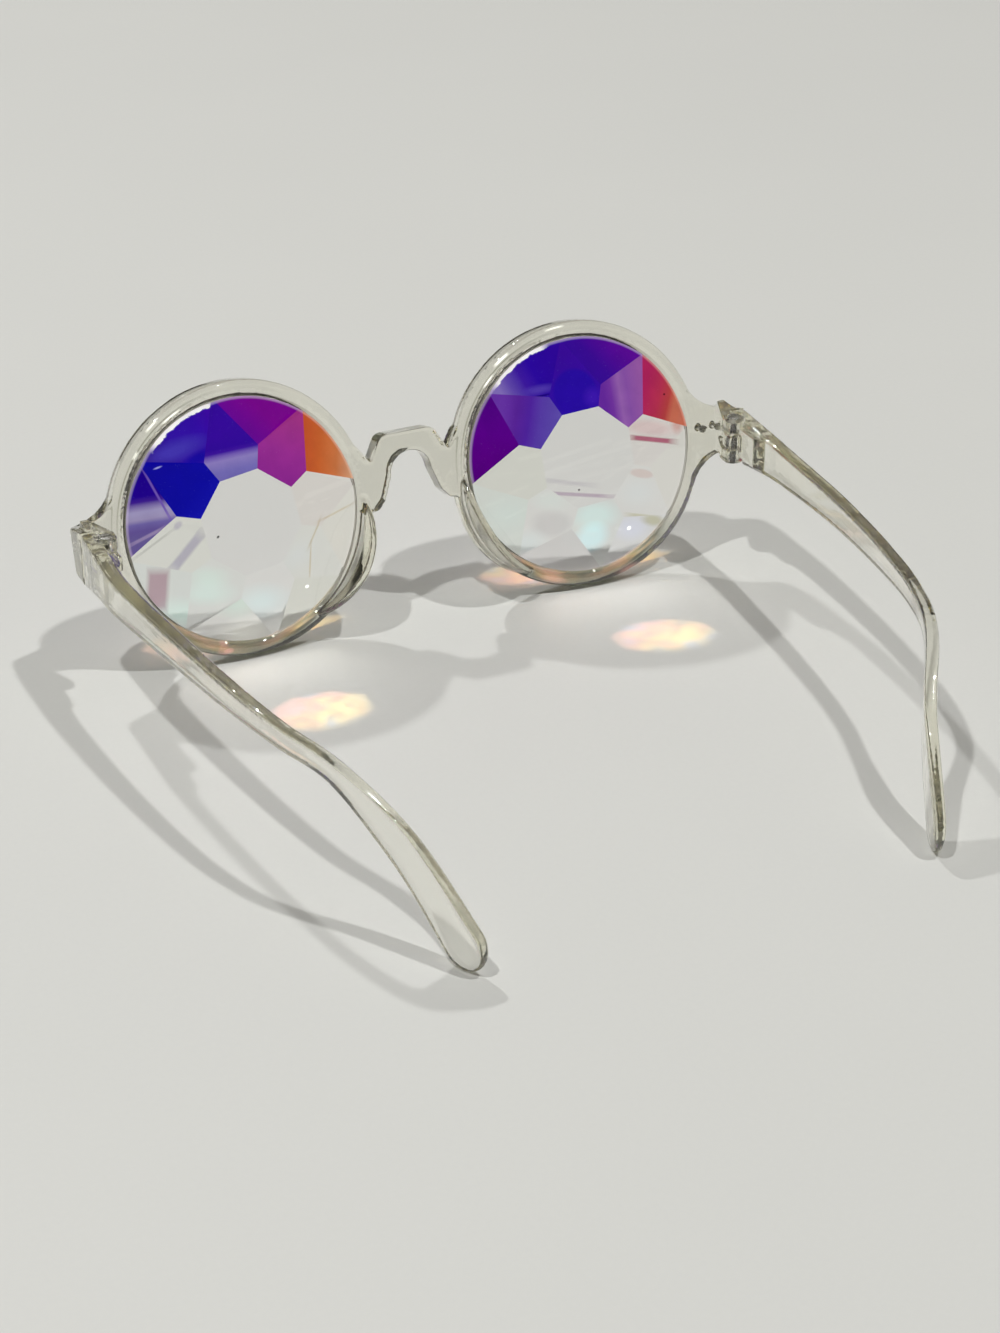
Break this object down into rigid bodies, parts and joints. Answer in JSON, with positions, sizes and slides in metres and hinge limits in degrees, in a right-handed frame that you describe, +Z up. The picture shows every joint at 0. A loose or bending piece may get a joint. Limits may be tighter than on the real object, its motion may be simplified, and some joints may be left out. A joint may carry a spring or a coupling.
{
  "type": "kaleidoscope glasses",
  "caption": "Round clear-framed glasses with faceted prism lenses that break up the view, and temples that fold behind the front.",
  "frame": {"origin": "centre of the bounding box in plan, on the surface that the folded-open glasses stand on", "axes": "+X to the wearer's right, +Y the way the wearer looks, +Z up"},
  "size_m": [0.141, 0.1387, 0.053],
  "materials": {
    "clear_plastic": "clear moulded plastic, polished",
    "cut_glass": "clear cut glass with a colour-shifting coating",
    "steel": "bright turned steel"
  },
  "bodies": {
    "front": {"front_frame": "clear_plastic", "left_lens": "cut_glass", "right_lens": "cut_glass", "left_lug_pins": "steel", "right_lug_pins": "steel", "left_hinge_screw": "steel", "right_hinge_screw": "steel"},
    "left_temple": {"left_temple": "clear_plastic"},
    "right_temple": {"right_temple": "clear_plastic"}
  },
  "joints": [
    {"name": "left_temple_fold", "type": "hinge", "parent": "front", "child": "left_temple", "pos_m": [-0.06617, 0.04978, 0.02848], "axis": [0, 0, 1], "range_deg": [0, 79]},
    {"name": "right_temple_fold", "type": "hinge", "parent": "front", "child": "right_temple", "pos_m": [0.06617, 0.04978, 0.02848], "axis": [0, 0, -1], "range_deg": [0, 74]}
  ]
}
